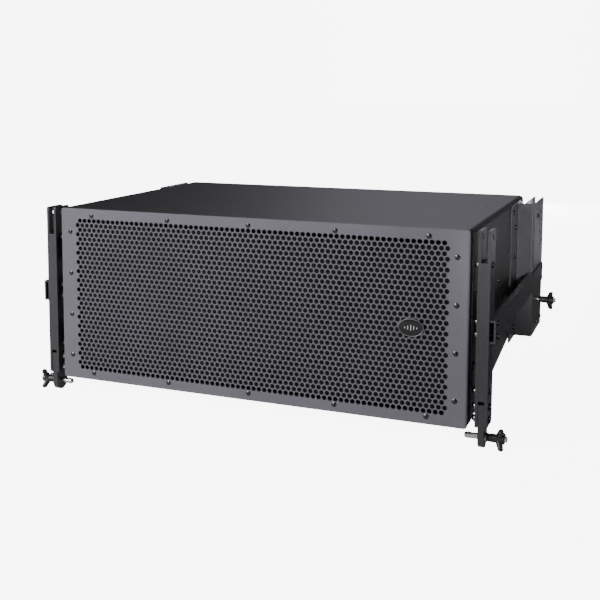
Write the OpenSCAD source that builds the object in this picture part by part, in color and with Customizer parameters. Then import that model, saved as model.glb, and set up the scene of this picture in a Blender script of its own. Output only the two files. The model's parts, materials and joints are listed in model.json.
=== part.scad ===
/* [Cabinet] */
// Width of the cabinet across its side panels
body_w = 768; // [700:1:900]
// Height of the cabinet at the front
body_h = 322; // [310:1:360]
// Depth of the cabinet from the grille face to the rear panel face
body_d = 545; // [520:1:600]
// How much the underside rises from front to rear
wedge = 73; // [40:1:90]
// Thickness of the wooden panels
wall = 15; // [12:1:18]
// Radius of the long outer edges of the side panels
edge_r = 9; // [4:1:12]

/* [Grille] */
// Width of the flat front of the grille
grille_w = 755; // [745:1:757]
// Thickness of the grille sheet
grille_t = 2; // [1:0.5:3]
// Outer radius of the bend at each end of the grille
grille_bend = 4.5; // [3:0.5:5]
// Depth of the folded ends of the grille
grille_return = 15; // [10:1:25]

/* [Woofers] */
// Distance of each woofer from the middle of the cabinet
woofer_x = 236; // [235:1:236]
// Outer radius of the woofer frame
woofer_r = 129; // [128:1:129]

/* [Front rigging] */
// Distance between the pin holes of two stacked cabinets
pitch = 325; // [324:1:340]
// Depth of the front bars and forks
bar_d = 44; // [40:1:60]
// Thickness of each outer plate of the bars
bar_plate = 5; // [4:1:6]
// Thickness of the core bar, the tongue and the fork slot
tongue_t = 10; // [8:1:12]
// Gap between the cabinet side and the bar
bar_gap = 9; // [8:1:14]
// Depth of the tongue from front to back
tongue_d = 34; // [30:1:40]

/* [Rear rigging] */
// Thickness of the bent sheet of the rear brackets
sheet = 3; // [2.5:0.5:4]
// Distance between neighbouring splay holes in height
splay_step = 7; // [6:0.5:9]
// Travel of the rear link
link_travel = 97; // [80:1:100]
// Width of the rear link
link_w = 46; // [40:1:46]

/* [Quick-release pins] */
// Diameter of the pin shank
pin_d = 10; // [10:1:12]
// Length of the shank below its collar
pin_len = 33.5; // [33.5:0.5:35]
// Travel of the push button
button_travel = 3.5; // [3:0.5:4]

/* [Hidden] */
$fn = 64;
eps = 0.01;

// The origin is on the common axis of the two front fork holes, midway between them.
hole_drop = 11;          // fork hole below the top of the cabinet
hole_y = 18;             // fork hole behind the grille face
pin_r = pin_d / 2;
hole_r = pin_r + 0.06;   // running clearance round the quick-release pins
pin_z0 = body_h / 2 - hole_drop;

// Levels measured from the middle of the front face
top_z = body_h / 2;
half_w = body_w / 2;
side_t = 18;
batten_w = 11;
slope = atan(wedge / body_d);
function floor_z(y) = -top_z + wedge * y / body_d;

// Colours
paint = [0.13, 0.13, 0.14];
steel_black = [0.1, 0.1, 0.11];
zinc = [0.75, 0.74, 0.7];

// Positions of the drivers along the depth
foam_y = 6;
foam_t = 8;
baffle_y = 42;
baffle_t = 18;
frame_t = 6;
frame_face = baffle_y - frame_t;
frame_in = 106;          // inner radius of the frame's flange
bolt_circle = 121;
cone_r = 98;
cone_rim = 3;            // flat edge of the cone under the surround
cone_t = 1.2;
cone_slope = 0.72;
cap_r = 41;
cap_h = 13;
coil_r = 25.4;
coil_t = 0.6;
roll_r = 102.5;          // middle of the surround's half roll
roll_out = 4.7;
rubber_t = 1.4;
magnet_y = 118;
magnet_t = 44;
plate_t = 7;
shelf_y = 106.8;         // face that carries the outer edge of the spider
chamber_x = 112;
chamber_t = 12;
horn_w = 120;
horn_h = 236;

// Front bars
bar_in = half_w + bar_gap;
core_in = bar_in + bar_plate;
core_out = core_in + tongue_t;
bar_out = core_out + bar_plate;
bar_bottom = -top_z + 5;
core_top = pin_z0 - 40;
core_bottom = -113;
tongue_z = pin_z0 - pitch;
tongue_top = core_bottom - 5.5;
small_bolt_r = 3;
large_bolt_r = 4;
small_bolt_z = [core_top - 5, 13, -8, -100];
large_bolt_z = [-125.5, -145.5];

// Side arms
arm_t = 3;
arm_w = 10;
arm_low = -17.5;
arm_high = 19.5;
arm_out = bar_out + arm_w;
arm_rear = 574;
arm_bolt_y = 562;

// Rear brackets
web_y = 450;
bracket_rear = 586;
bracket_out = arm_out - arm_t;
bracket_low = -112;
bracket_high = 155;
inner_x = bracket_out - 20;
link_y = 544;
link_x = bracket_out - sheet - 2 - tongue_t;
link_low = -110;
link_hole_z = link_low + 14;
bend_in = 2;             // inner radius of a bend in the sheet
rear_pin_z = -54;
slot_r = pin_r + 0.3;
sleeve_r = 4.5;
guide_z = -95;
guide_half = link_w / 2 + sleeve_r + 0.5;
upper_guide = [502, 126];
splay_top = 132;
splay_columns = [link_y - 12, link_y + 12];

// Quick-release pins
collar_r = 7.8;
collar_t = 2;
neck_r = 5.5;
neck_len = 8;
barrel_r = 7;
barrel_len = 31;
lobe_r = 21.5;
lobe_t = 6;
button_r = 4.6;
button_out = 4;
ball_r = 2.2;
ball_x = -26.5;          // locking balls, measured from the collar face
ball_z = pin_r - 1.2;    // centre of a ball from the pin's axis, locked
ball_lift = 1.05;        // how far a ball sinks when the button is pressed
spindle_r = ball_z - ball_r - 0.17;

// ---------- helpers ----------

// Places geometry, drawn from the middle of the front face, round the origin.
module from_front() translate([0, -hole_y, -pin_z0]) children();

// Draws for the right side; side = -1 mirrors it to the left.
module on_side(side) {
    if (side < 0) mirror([1, 0, 0]) children();
    else children();
}

// Box from a low corner to a high corner.
module box(low, high) translate(low) cube(high - low);

// Cylinder along X between x0 and x1.
module rod_x(x0, x1, r, y, z) translate([x0, y, z]) rotate([0, 90, 0]) cylinder(h = x1 - x0, r = r);

// Cylinder along Y between y0 and y1.
module rod_y(y0, y1, r, x, z) translate([x, y0, z]) rotate([-90, 0, 0]) cylinder(h = y1 - y0, r = r);

// Turns a profile about the Y axis: the profile's x is the radius and its y runs along Y.
module turned_y() rotate([-90, 0, 0]) mirror([0, 1, 0]) rotate_extrude() children();

// Extrudes a profile drawn as (y, z) along X between x0 and x1.
module extrude_x(x0, x1) translate([x0, 0, 0]) rotate([90, 0, 90]) linear_extrude(x1 - x0) children();

// Domed screw head along +Z with a six-sided socket, standing on z = 0.
module button_head(r, h) difference() {
    rotate_extrude() intersection() {
        translate([0, h - r * r / h / 2 - h / 2]) circle(r = r * r / h / 2 + h / 2, $fn = 96);
        square([r, h]);
    }
    translate([0, 0, h * 0.4]) cylinder(h = h, r = r * 0.42, $fn = 6);
}

// Domed nut along +Z, standing on z = 0: six-sided below and round above.
module cap_nut(r, h) {
    cylinder(h = h * 0.4, r = r, $fn = 6);
    rotate_extrude() intersection() {
        translate([0, h - r * 0.85]) circle(r = r * 0.85);
        square([r * 0.85, h]);
    }
}

// Screw whose head points along +X or -X (dir) with its shank behind it.
module screw_x(dir, x, y, z, r, len, head_r, head_h) translate([x, y, z]) rotate([0, 90 * dir, 0]) {
    button_head(head_r, head_h);
    translate([0, 0, -len]) cylinder(h = len + head_h * 0.3, r = r);
}

// Screw whose head points along +Y or -Y (dir).
module screw_y(dir, x, y, z, r, len, head_r, head_h) translate([x, y, z]) rotate([-90 * dir, 0, 0]) {
    button_head(head_r, head_h);
    translate([0, 0, -len]) cylinder(h = len + head_h * 0.3, r = r);
}

// Holes along X through a front bar, one at each of the given heights.
module bolt_holes(x0, x1, zs, r) for (z = zs) rod_x(x0 - eps, x1 + eps, r, hole_y, z);

// ---------- cabinet ----------

module top_panel() from_front() color(paint) difference() {
    box([-half_w + side_t, grille_t, top_z - wall], [half_w - side_t, body_d, top_z]);
    for (p = top_screws) translate([p[0], p[1], top_z]) {
        translate([0, 0, -wall - eps]) cylinder(h = wall, r = 2.1);
        translate([0, 0, -sink_r + 2.1]) cylinder(h = sink_r - 2.1 + eps, r1 = 2.1, r2 = sink_r);
    }
    for (x = front_screw_x) rod_y(0, pilot_y, 2.1, x, top_z - grille_screw_in);
}

side_screws = [[255, 35], [255, 5]];
top_screws = [[-185, 72], [185, 72], [-350, 315], [350, 315], [0, 512]];
sink_r = 4.6;            // mouth of the countersunk holes in the top
pilot_y = grille_t + 4;  // how deep the holes for the grille's screws go
grille_screw_in = 13;    // from the grille's edge to the screws along it
front_screw_x = [-315, -157.5, 0, 157.5, 315];
end_screw_z = [-117, -39, 39, 117];
end_screw_in = 16.5;     // from the end of the flat front to the screws beside it

module bottom_panel() from_front() color(paint) difference() {
    extrude_x(-half_w + side_t, half_w - side_t) polygon([
        [grille_t, floor_z(grille_t)],
        [body_d, floor_z(body_d)],
        [body_d, floor_z(body_d) + wall],
        [grille_t, floor_z(grille_t) + wall]
    ]);
    for (x = front_screw_x) rod_y(0, pilot_y, 2.1, x, -top_z + grille_screw_in);
}

// Side panel with rounded long edges, a rabbet for the folded end of the grille and
// an inner batten for the screws at that end of the grille.
module side_panel(side) from_front() color(paint) on_side(side) difference() {
    union() {
        extrude_x(half_w - side_t, half_w) polygon([
            [grille_t, floor_z(grille_t)],
            [body_d, floor_z(body_d)],
            [body_d, top_z],
            [grille_t, top_z]
        ]);
        box([half_w - side_t - batten_w, grille_t, -top_z + wall + 6],
            [half_w - side_t + 1, grille_t + 20, top_z - wall - 2]);
    }
    for (z = end_screw_z) rod_y(0, pilot_y, 2.1, grille_w / 2 - end_screw_in, z);
    for (p = side_screws) rod_x(half_w - 13, half_w + 1, 2.1, p[0], p[1]);
    for (b = flange_bolts) rod_x(half_w - side_t + 2, half_w + 1, small_bolt_r + 0.1, b[0], b[1]);
    box([grille_w / 2 - 0.5, -1, -top_z - 1], [half_w + 1, grille_bend + 0.2, top_z + 1]);
    translate([half_w - edge_r, 0, top_z - edge_r]) round_off(body_d);
    translate([half_w - edge_r, 0, -top_z + edge_r / cos(slope)]) rotate([slope, 0, 0])
        mirror([0, 0, 1]) round_off(body_d + 20);
    box([grille_w / 2 + grille_bend - grille_t - 0.2, -1, -top_z - 1],
        [half_w + 1, grille_return + 0.3, top_z + 1]);
    for (z = return_screw_z) rod_x(half_w - side_t - 1, half_w, 1.4, 9.5, z);
}

// Removes the sharp corner outside a quarter round that runs along Y. The round is a
// hair larger than its distance to the faces, so that it crosses them cleanly.
module round_off(len) difference() {
    box([0, -20, 0], [edge_r + 5, len + 20, edge_r + 5]);
    rod_y(-21, len + 21, edge_r + 0.02, 0, 0);
}

module rear_panel() from_front() color(paint) difference() {
    extrude_x(-half_w + side_t, half_w - side_t) upright(body_d - wall, body_d);
    box([-52, body_d - wall - 1, socket_z - 30], [52, body_d + 1, socket_z + 30]);
    for (x = [-62, 62], z = [-28, 28])
        rod_y(body_d - wall - 1, body_d + 1, 1.6, x, socket_z + z);
    for (hx = handle_x, s = [-1, 1], dz = foot_screw_z)
        rod_y(body_d - wall - 1, body_d + 1, 2.1, hx + s * handle_half, handle_z + dz);
}

module baffle() from_front() color([0.08, 0.08, 0.08]) difference() {
    extrude_x(-half_w + side_t, half_w - side_t) upright(baffle_y, baffle_y + baffle_t);
    for (s = [-1, 1]) rod_y(baffle_y - 1, baffle_y + baffle_t + 1, woofer_r - 13.5, s * woofer_x, 0);
    box([-horn_w / 2 - 1, baffle_y - 1, -horn_h / 2 - 1],
        [horn_w / 2 + 1, baffle_y + baffle_t + 1, horn_h / 2 + 1]);
    for (s = [-1, 1], p = bolt_points())
        rod_y(baffle_y - 1, baffle_y + baffle_t + 1, 2.1, s * woofer_x + p[0], p[1]);
}

function bolt_points() = [for (a = [22.5 : 45 : 337.5]) bolt_circle * [cos(a), sin(a)]];

// Outline, as (y, z), of what stands between the sloping floor and the top panel.
module upright(y0, y1) polygon([
    [y0, floor_z(y0) + wall],
    [y1, floor_z(y1) + wall],
    [y1, top_z - wall],
    [y0, top_z - wall]
]);

module chamber_walls() from_front() color([0.35, 0.28, 0.2]) for (s = [-1, 1])
    extrude_x(s * chamber_x - chamber_t / 2, s * chamber_x + chamber_t / 2)
        upright(baffle_y + baffle_t, body_d - wall);

return_screw_z = [20, -11];
grille_corner = 7;

// Sheet folded back at both ends: the flat front, the two bends and the two returns. Its
// four corners are rounded together with the folds.
module grille() from_front() color([0.4, 0.4, 0.43]) difference() {
    intersection() {
        translate([0, 0, -top_z]) linear_extrude(body_h) grille_section();
        rotate([-90, 0, 0]) translate([0, 0, -1]) linear_extrude(grille_return + 2)
            rounded_rect(grille_w + 2 * grille_bend, body_h, grille_corner);
    }
    for (p = grille_screw_points()) rod_y(-1, grille_t + 1, 2.2, p[0], p[1]);
    for (s = [-1, 1], z = return_screw_z) on_side(s) rod_x(half_w - 10, half_w + 1, 1.5, 9.5, z);
}

// Section of the folded sheet, drawn as (x, y).
module grille_section() {
    translate([-grille_w / 2, 0]) square([grille_w, grille_t]);
    for (s = [-1, 1]) on_side(s) translate([grille_w / 2, grille_bend]) {
        intersection() {
            difference() {
                circle(r = grille_bend);
                circle(r = grille_bend - grille_t);
            }
            translate([0, -grille_bend]) square(grille_bend);
        }
        translate([grille_bend - grille_t, 0]) square([grille_t, grille_return - grille_bend]);
    }
}

module rounded_rect(w, h, r) union() {
    square([w - 2 * r, h], center = true);
    square([w, h - 2 * r], center = true);
    for (x = [-1, 1], y = [-1, 1]) translate([x * (w / 2 - r), y * (h / 2 - r)]) circle(r = r);
}

// Screws round the grille: five along the top and bottom, four up each end.
function grille_screw_points() = concat(
    [for (x = front_screw_x, s = [-1, 1]) [x, s * (top_z - grille_screw_in)]],
    [for (s = [-1, 1], z = end_screw_z) [s * (grille_w / 2 - end_screw_in), z]]
);

foam_half_w = half_w - side_t - batten_w - 1;

module grille_foam() from_front() color([0.05, 0.05, 0.05])
    box([-foam_half_w, foam_y, -top_z + 26], [foam_half_w, foam_y + foam_t, top_z - 26]);

module grille_screws() from_front() color([0.2, 0.2, 0.2]) {
    for (p = grille_screw_points()) screw_y(-1, p[0], 0, p[1], 2, grille_t + 3, 4.6, 1.5);
    for (s = [-1, 1], z = return_screw_z)
        on_side(s) screw_x(1, grille_w / 2 + grille_bend, 9.5, z, 1.3, 8, 2.6, 1.4);
}

badge_x = 288;
badge_z = -3;
badge_half = [21.5, 15];

// Oval badge with a raised rim, held against the grille.
module badge() from_front() color([0.03, 0.03, 0.03]) translate([badge_x, 0, badge_z])
    rotate([90, 0, 0]) {
    linear_extrude(1.6) oval(0);
    linear_extrude(2.4) difference() {
        oval(0);
        oval(1.6);
    }
}

// Oval outline, drawn in by inset.
module oval(inset) polygon([
    for (a = [0 : 7.5 : 352.5]) [(badge_half[0] - inset) * cos(a), (badge_half[1] - inset) * sin(a)]
]);

// Countersunk screws just below the top face, and domed ones in the side panels.
module panel_screws() from_front() color([0.2, 0.2, 0.2]) {
    for (p = top_screws) translate([p[0], p[1], top_z - 0.3]) difference() {
        rotate_extrude() polygon([
            [0, -wall + 0.5],
            [2, -wall + 0.5],
            [2, 2.4 - sink_r],
            [sink_r - 0.5, -0.1],
            [sink_r - 0.5, 0],
            [0, 0]
        ]);
        translate([0, 0, -1.6]) cylinder(h = 2, r = 1.7, $fn = 6);
    }
    for (s = [-1, 1], p = side_screws) on_side(s) screw_x(1, half_w, p[0], p[1], 2, 12, 4.6, 2);
}

// ---------- woofers ----------

module at_woofers() from_front() for (s = [-1, 1]) translate([s * woofer_x, 0, 0]) children();

// Cast frame: flange, conical basket with windows, shelf for the spider and magnet seat.
module woofer_frames() color([0.15, 0.15, 0.16]) at_woofers() difference() {
    turned_y() union() {
        polygon([
            [frame_in, frame_face],
            [woofer_r, frame_face],
            [woofer_r, baffle_y],
            [woofer_r - 15, baffle_y],
            [woofer_r - 18, baffle_y + 30],
            [72, magnet_y - 4],
            [72, magnet_y],
            [40, magnet_y],
            [40, magnet_y - 4],
            [67, magnet_y - 4],
            [woofer_r - 22, baffle_y + 28],
            [woofer_r - 20, frame_face + 3],
            [frame_in, frame_face + 3]
        ]);
        polygon([[64, shelf_y], [75, shelf_y], [71, shelf_y + 3.2], [64, shelf_y + 3.2]]);
    }
    for (a = [0 : 60 : 300]) rotate([0, a, 0]) box([60, baffle_y + 26, -28], [130, shelf_y - 3, 28]);
    for (p = bolt_points()) rod_y(frame_face - 1, baffle_y + 1, 2.2, p[0], p[1]);
}

// Front plate, ceramic ring, and back plate with its pole piece.
module woofer_magnets() color([0.2, 0.2, 0.22]) at_woofers() turned_y() {
    translate([coil_r + 2.6, magnet_y]) square([62 - coil_r - 2.6, plate_t]);
    translate([coil_r + 8, magnet_y + plate_t + 0.05])
        square([75 - coil_r - 8, magnet_t - 2 * plate_t - 0.1]);
    polygon([
        [0, magnet_y],
        [coil_r - 1.4, magnet_y],
        [coil_r - 1.4, magnet_y + magnet_t - plate_t],
        [62, magnet_y + magnet_t - plate_t],
        [62, magnet_y + magnet_t],
        [0, magnet_y + magnet_t]
    ]);
}

function cone_y(r) = frame_face + (cone_r - cone_rim - r) * cone_slope;

// Paper cone, dust cap and coil former in one moving piece.
module woofer_cone(side) color([0.12, 0.12, 0.12]) from_front() on_side(side) translate([woofer_x, 0, 0])
    turned_y() polygon(concat(
        [
            [cone_r - cone_rim, frame_face],
            [cone_r, frame_face],
            [cone_r, frame_face + cone_t],
            [cone_r - cone_rim, frame_face + cone_t],
            [coil_r + coil_t, cone_y(coil_r) + cone_t],
            [coil_r + coil_t, magnet_y + 12],
            [coil_r, magnet_y + 12],
            [coil_r, cone_y(coil_r)]
        ],
        [for (a = [0 : 15 : 90]) [(cap_r - 1.6) * cos(a), cone_y(cap_r - 1.6) - (cap_h - 0.2) * sin(a)]],
        [for (a = [90 : -15 : 0]) [cap_r * cos(a), cone_y(cap_r) - cap_h * sin(a)]]
    ));

// Half-roll rubber surround between the cone's rim and the frame.
module woofer_surrounds() color([0.06, 0.06, 0.06]) at_woofers() turned_y() difference() {
    union() {
        translate([roll_r, frame_face]) circle(r = roll_out);
        translate([cone_r - cone_rim + 0.2, frame_face - rubber_t]) square([17.8, rubber_t]);
    }
    translate([roll_r, frame_face]) circle(r = roll_out - rubber_t);
    translate([cone_r - cone_rim - 5, frame_face]) square([30, 20]);
}

// Corrugated spider between the coil former and the frame's shelf.
module woofer_spiders() color([0.5, 0.38, 0.15]) at_woofers() turned_y() polygon(concat(
    [for (r = spider_r) [r, shelf_y - 1 + spider_wave(r)]],
    [[73, shelf_y - 1], [73, shelf_y]],
    [for (k = [len(spider_r) - 1 : -1 : 0]) [spider_r[k], shelf_y + spider_wave(spider_r[k])]]
));

spider_r = [for (r = [coil_r + coil_t + 0.1 : 2 : 62]) r];
function spider_wave(r) = r < 29 || r > 60 ? 0 : 1.5 * sin((r - 28) * 45);

module woofer_bolts() from_front() color([0.2, 0.2, 0.2]) for (s = [-1, 1], p = bolt_points())
    screw_y(-1, s * woofer_x + p[0], frame_face, p[1], 2, 20, 4.5, 2.4);

// ---------- high-frequency section ----------

horn_throat = 24;
horn_rear = 150;
driver_z = [-57, 61];    // the lower one clears the sloping underside

// Two flared side walls, a top and a bottom plate, a front flange and a rear manifold.
module waveguide() from_front() color([0.07, 0.07, 0.07]) {
    difference() {
        union() {
            for (s = [-1, 1]) on_side(s) translate([0, 0, -horn_h / 2]) linear_extrude(horn_h) polygon([
                [horn_w / 2, baffle_y - 6],
                [horn_w / 2, baffle_y],
                [horn_throat / 2 + 5, horn_rear],
                [horn_throat / 2, horn_rear],
                [horn_w / 2 - 6, baffle_y - 6]
            ]);
            for (s = [-1, 1]) translate([0, 0, s * (horn_h / 2 - 2.5) - 2.5]) linear_extrude(5) polygon([
                [-horn_w / 2, baffle_y - 6],
                [horn_w / 2, baffle_y - 6],
                [horn_throat / 2 + 5, horn_rear],
                [-horn_throat / 2 - 5, horn_rear]
            ]);
            box([-55, horn_rear, -horn_h / 2], [55, horn_rear + 14, horn_h / 2]);
        }
        for (z = driver_z) rod_y(horn_rear - 1, horn_rear + 15, 18, 0, z);
        box([-horn_throat / 2, horn_rear - 1, -horn_h / 2 + 6],
            [horn_throat / 2, horn_rear + 8, horn_h / 2 - 6]);
    }
}

module compression_drivers() from_front() color([0.25, 0.25, 0.27]) for (z = driver_z)
    translate([0, horn_rear + 14, z]) turned_y() polygon([
        [0, 4], [18, 4], [18, 0], [50, 0], [50, 6], [58, 6], [58, 34], [50, 38], [44, 52], [0, 56]
    ]);

// ---------- electrics ----------

socket_z = 20;
board_x = chamber_x - chamber_t / 2;

// Circuit board on spacers fixed to one chamber wall.
module crossover_board() from_front() color([0.1, 0.3, 0.15]) {
    box([board_x - 8, 290, -60], [board_x - 6, 470, 60]);
    for (y = [300, 460], z = [-50, 50]) rod_x(board_x - 6.5, board_x, 4, y, z);
}

// Three air-core coils and a row of capacitors on the board.
module crossover_parts() from_front() color([0.7, 0.45, 0.15]) {
    for (y = [320, 370, 420]) difference() {
        rod_x(board_x - 30, board_x - 8, 20, y, 25);
        rod_x(board_x - 31, board_x - 7, 9, y, 25);
    }
    for (y = [310 : 26 : 440]) rod_x(board_x - 34, board_x - 8, 9, y, -30);
}

module connector_plate() from_front() color([0.12, 0.12, 0.13]) difference() {
    box([-70, body_d, socket_z - 38], [70, body_d + 2.5, socket_z + 38]);
    for (x = socket_x) rod_y(body_d - 1, body_d + 4, 14.6, x, socket_z);
    for (x = [-62, 62], z = [-28, 28]) rod_y(body_d - 1, body_d + 4, 2.2, x, socket_z + z);
}

socket_x = [-26, 26];

// Round four-pole sockets: a flanged cup with a keyed centre post.
module speaker_sockets() from_front() color([0.05, 0.05, 0.06]) for (x = socket_x)
    translate([x, body_d, socket_z]) {
        difference() {
            union() {
                rod_y(-26, 2.5, 14.4, 0, 0);
                translate([0, 2.5, 0]) rotate([-90, 0, 0]) linear_extrude(2) rounded_rect(30, 34, 3);
            }
            rod_y(-22, 5, 12.2, 0, 0);
            for (dx = [-11.8, 11.8]) rod_y(2, 6, 1.6, dx, 13);
        }
        difference() {
            rod_y(-23, 1.5, 7, 0, 0);
            for (a = [45 : 90 : 315]) rotate([0, a, 0]) box([5.2, -20, -1], [8, 3, 1]);
            rod_y(-20, 3, 2.4, 0, 0);
        }
    }

// ---------- rear handles ----------

handle_half = 60;
handle_z = 36;
handle_bar_r = 6;
handle_out = 38;
handle_bend = 14;
foot_screw_z = [-10.5, 10.5];
handle_x = [-235, 235];

// Bar handle: two feet, two legs with round bends and a grip.
module rear_handles() from_front() color([0.1, 0.1, 0.1]) for (hx = handle_x)
    translate([hx, body_d, handle_z]) {
        for (s = [-1, 1]) on_side(s) {
            difference() {
                translate([handle_half, 0, 0]) rotate([-90, 0, 0]) linear_extrude(4) rounded_rect(20, 30, 5);
                for (z = foot_screw_z) rod_y(-1, 5, 2.1, handle_half, z);
            }
            rod_y(3, handle_out - handle_bend, handle_bar_r, handle_half, 0);
            translate([handle_half - handle_bend, handle_out - handle_bend, 0])
                rotate_extrude(angle = 90) translate([handle_bend, 0]) circle(r = handle_bar_r);
        }
        rod_x(-handle_half + handle_bend, handle_half - handle_bend, handle_bar_r, handle_out, 0);
    }

module handle_screws() from_front() color(zinc) {
    for (hx = handle_x, s = [-1, 1], z = foot_screw_z)
        screw_y(1, hx + s * handle_half, body_d + 4, handle_z + z, 2, wall + 2, 4, 2);
    for (x = [-62, 62], z = [-28, 28])
        screw_y(1, x, body_d + 2.5, socket_z + z, 1.5, wall, 3.6, 1.8);
}

// ---------- front bars and tongues ----------

// Inner and outer plates of the front bar: above the core bar they form the fork.
module bar_plates(side) from_front() color(steel_black) on_side(side)
    for (x = [bar_in, core_out]) difference() {
        extrude_x(x, x + bar_plate) bar_outline(bar_bottom, top_z, 3);
        bolt_holes(x, x + bar_plate, small_bolt_z, small_bolt_r + 0.1);
        bolt_holes(x, x + bar_plate, large_bolt_z, large_bolt_r + 0.1);
        rod_x(x - eps, x + bar_plate + eps, hole_r, hole_y, pin_z0);
    }

// Upright bar outline with small corner rounds, drawn as (y, z).
module bar_outline(z0, z1, r) translate([bar_d / 2, (z0 + z1) / 2]) rounded_rect(bar_d, z1 - z0, r);

module bar_cores() from_front() color(steel_black) for (s = [-1, 1]) on_side(s) difference() {
    extrude_x(core_in, core_out) bar_outline(core_bottom, core_top, 1);
    bolt_holes(core_in, core_out, small_bolt_z, small_bolt_r + 0.1);
}

// Flat bar that reaches down into the fork of the cabinet below, with a round lower end.
module tongues() from_front() color(steel_black) for (s = [-1, 1]) on_side(s) difference() {
    extrude_x(core_in, core_out) union() {
        translate([hole_y - tongue_d / 2, tongue_z]) square([tongue_d, tongue_top - tongue_z]);
        translate([hole_y, tongue_z]) circle(r = tongue_d / 2, $fn = 128);
    }
    bolt_holes(core_in, core_out, large_bolt_z, large_bolt_r + 0.1);
    rod_x(core_in - eps, core_out + eps, hole_r, hole_y, tongue_z);
}

// ---------- side arms ----------

// Channel from the front bar to the rear bracket; its flanges end before the bracket.
module side_arm(side) from_front() color(steel_black) on_side(side) difference() {
    union() {
        box([bracket_out, 2, arm_low], [arm_out, arm_rear, arm_high]);
        for (z = [arm_low, arm_high - arm_t])
            box([bar_out, 2, z], [arm_out, web_y - 12, z + arm_t]);
    }
    bolt_holes(bracket_out, arm_out, [small_bolt_z[1], small_bolt_z[2]], small_bolt_r + 0.1);
    for (z = arm_bolt_z) rod_x(bracket_out - 1, arm_out + 1, small_bolt_r + 0.1, arm_bolt_y, z);
}

arm_bolt_z = [12, -9];

// ---------- rear brackets ----------

flange_front = 383;
flange_bolts = [[405, 142], [428, 110], [428, 52], [428, -20], [428, -90]];

// Bent sheet: flange on the cabinet side, web facing forward, plate facing sideways.
module rear_bracket(side) from_front() color(steel_black) on_side(side) difference() {
    translate([0, 0, bracket_low]) linear_extrude(bracket_high - bracket_low) union() {
        translate([half_w, flange_front]) square([sheet, web_y - bend_in - flange_front]);
        translate([half_w + bend_r(), web_y - bend_in]) mirror([1, 0]) bend();
        translate([half_w + bend_r(), web_y]) square([bracket_out - half_w - 2 * bend_r(), sheet]);
        translate([bracket_out - bend_r(), web_y + bend_r()]) mirror([0, 1]) bend();
        translate([bracket_out - sheet, web_y + bend_r()])
            square([sheet, bracket_rear - web_y - bend_r()]);
    }
    for (b = flange_bolts) rod_x(half_w - 1, half_w + sheet + 1, small_bolt_r + 0.1, b[0], b[1]);
    bracket_holes(bracket_out - sheet, bracket_out);
    for (z = arm_bolt_z)
        rod_x(bracket_out - sheet - 1, bracket_out + 1, small_bolt_r + 0.1, arm_bolt_y, z);
}

function bend_r() = bend_in + sheet;

// Quarter ring with the section of a bend in the sheet.
module bend() intersection() {
    difference() {
        circle(r = bend_r());
        circle(r = bend_in);
    }
    square(bend_r());
}

// Holes shared by the bracket's side plate and the inner plate.
module bracket_holes(x0, x1) {
    for (k = [0 : 10])
        rod_x(x0 - eps, x1 + eps, hole_r, splay_columns[k % 2], splay_top - k * splay_step);
    rod_x(x0 - eps, x1 + eps, hole_r, link_y, rear_pin_z);
    for (p = guide_points()) rod_x(x0 - eps, x1 + eps, small_bolt_r + 0.1, p[0], p[1]);
}

function guide_points() = [
    [link_y - guide_half, guide_z],
    [link_y + guide_half, guide_z],
    upper_guide
];

// Angle plate welded behind the web: the inner cheek of the link channel.
module rear_inner_plates() from_front() color(steel_black) for (s = [-1, 1]) on_side(s) difference() {
    union() {
        box([inner_x, web_y + sheet, bracket_low], [inner_x + sheet, bracket_rear, bracket_high]);
        box([half_w + 2 * sheet, web_y + sheet, bracket_low],
            [inner_x + sheet, web_y + 2 * sheet, bracket_high]);
    }
    bracket_holes(inner_x, inner_x + sheet);
}

// Flat bar that slides down on the rear pin to reach the cabinet below.
module rear_link(side) from_front() color(steel_black) on_side(side) difference() {
    extrude_x(link_x, link_x + tongue_t) translate([link_y, (link_low + link_high()) / 2])
        rounded_rect(link_w, link_high() - link_low, 10);
    for (y = splay_columns) rod_x(link_x - eps, link_x + tongue_t + eps, hole_r, y, link_hole_z);
    for (z = [rear_pin_z, rear_pin_z + link_travel])
        rod_x(link_x - eps, link_x + tongue_t + eps, slot_r, link_y, z);
    box([link_x - eps, link_y - slot_r, rear_pin_z],
        [link_x + tongue_t + eps, link_y + slot_r, rear_pin_z + link_travel]);
}

// Top of the rear link, one end wall above its slot.
function link_high() = rear_pin_z + link_travel + 13;

// Blocks between cabinet and bar, and the sleeves that guide the rear links.
module rigging_spacers() from_front() color(steel_black) for (s = [-1, 1]) on_side(s) {
    for (z = [-80, 80]) box([half_w, 24, z - 20], [bar_in, 42, z + 20]);
    for (p = guide_points()) difference() {
        rod_x(inner_x + sheet, bracket_out - sheet, sleeve_r, p[0], p[1]);
        rod_x(inner_x, bracket_out, small_bolt_r + 0.1, p[0], p[1]);
    }
}

// Through bolts of the bars, arms and brackets, and the flange bolts of the rear brackets.
module rigging_bolts() from_front() color(zinc) for (s = [-1, 1]) on_side(s) {
    for (k = [0 : 3]) {
        outer = (k == 1 || k == 2) ? arm_out : bar_out;
        bar_bolt(outer, small_bolt_z[k], small_bolt_r, 5.2, 3.3);
    }
    for (z = large_bolt_z) bar_bolt(bar_out, z, large_bolt_r, 7, 4.2);
    for (z = arm_bolt_z)
        through_bolt(bracket_out - sheet, arm_out, arm_bolt_y, z, small_bolt_r, 5.2, 2, 1.2);
    for (p = guide_points()) through_bolt(inner_x, bracket_out, p[0], p[1], small_bolt_r, 5.2, 3);
    for (b = flange_bolts) screw_x(1, half_w + sheet, b[0], b[1], small_bolt_r, 18, 5.2, 3);
}

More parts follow.
